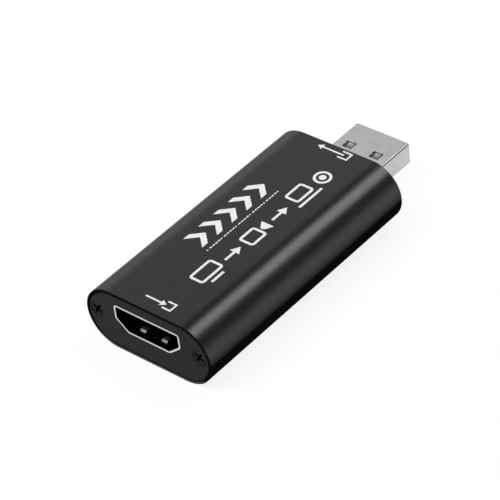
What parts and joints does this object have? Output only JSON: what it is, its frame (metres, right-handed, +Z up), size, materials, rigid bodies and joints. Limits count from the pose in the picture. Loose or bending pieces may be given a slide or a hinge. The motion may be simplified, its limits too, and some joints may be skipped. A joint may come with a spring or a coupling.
{
  "type": "video capture box",
  "caption": "Flat black metal stick with a video input socket in one end cover and a data plug standing out of the other.",
  "frame": {"origin": "on the flat underside, midway along the overall length between the socket's face and the plug's tip", "axes": "+Z up out of the flat top; +Y along the stick, from the socket towards the plug's tip; +X across, to the right when looking into the socket"},
  "size_m": [0.028, 0.066, 0.0125],
  "materials": {
    "sleeve_finish": "satin black anodised",
    "cover_finish": "matt black",
    "screw_finish": "black oxide",
    "socket_metal": "bright nickel plate",
    "socket_moulding": "black moulding",
    "plug_metal": "satin nickel plate",
    "plug_moulding": "pale moulding",
    "contact_gold": "gold plate",
    "board_laminate": "green solder mask",
    "chip_moulding": "black epoxy",
    "tinned_metal": "bright tin",
    "crystal_ceramic": "fired ceramic",
    "coil_ferrite": "dark ferrite",
    "capacitor_ceramic": "tan ceramic",
    "resistor_glaze": "black glaze",
    "print_ink": "white pad print"
  },
  "bodies": {
    "box": {"sleeve": "sleeve_finish", "input_end_cover": "cover_finish", "output_end_cover": "cover_finish", "input_cover_screws": "screw_finish", "output_cover_screws": "screw_finish", "circuit_board": "board_laminate", "input_socket_shell": "socket_metal", "input_socket_housing": "socket_moulding", "input_socket_upper_contacts": "contact_gold", "input_socket_lower_contacts": "contact_gold", "output_plug_shell": "plug_metal", "output_plug_insulator": "plug_moulding", "output_plug_power_contacts": "contact_gold", "output_plug_data_contacts": "contact_gold", "capture_chip_body": "chip_moulding", "capture_chip_leads": "tinned_metal", "memory_chip_body": "chip_moulding", "memory_chip_leads": "tinned_metal", "crystal_base": "crystal_ceramic", "crystal_can": "tinned_metal", "regulator_bodies": "chip_moulding", "regulator_leads": "tinned_metal", "power_coil_core": "coil_ferrite", "power_coil_pads": "tinned_metal", "capacitor_bodies": "capacitor_ceramic", "capacitor_ends": "tinned_metal", "resistor_bodies": "resistor_glaze", "resistor_ends": "tinned_metal", "protection_arrays": "chip_moulding", "solder_joints": "tinned_metal"},
    "finger_upper_left": {"input_socket_finger_upper_left": "socket_metal"},
    "finger_upper_right": {"input_socket_finger_upper_right": "socket_metal"},
    "finger_lower_left": {"input_socket_finger_lower_left": "socket_metal"},
    "finger_lower_right": {"input_socket_finger_lower_right": "socket_metal"}
  },
  "joints": [
    {"name": "finger_upper_left_flex", "type": "hinge", "parent": "box", "child": "finger_upper_left", "pos_m": [-0.003, -0.028, 0.00983], "axis": [-1, 0, 0], "range_deg": [0, 6], "stiffness_Nm_per_rad": 0.03},
    {"name": "finger_upper_right_flex", "type": "hinge", "parent": "box", "child": "finger_upper_right", "pos_m": [0.003, -0.028, 0.00983], "axis": [-1, 0, 0], "range_deg": [0, 6], "stiffness_Nm_per_rad": 0.03},
    {"name": "finger_lower_left_flex", "type": "hinge", "parent": "box", "child": "finger_lower_left", "pos_m": [-0.0024, -0.028, 0.00493], "axis": [1, 0, 0], "range_deg": [0, 6], "stiffness_Nm_per_rad": 0.03},
    {"name": "finger_lower_right_flex", "type": "hinge", "parent": "box", "child": "finger_lower_right", "pos_m": [0.0024, -0.028, 0.00493], "axis": [1, 0, 0], "range_deg": [0, 6], "stiffness_Nm_per_rad": 0.03}
  ]
}
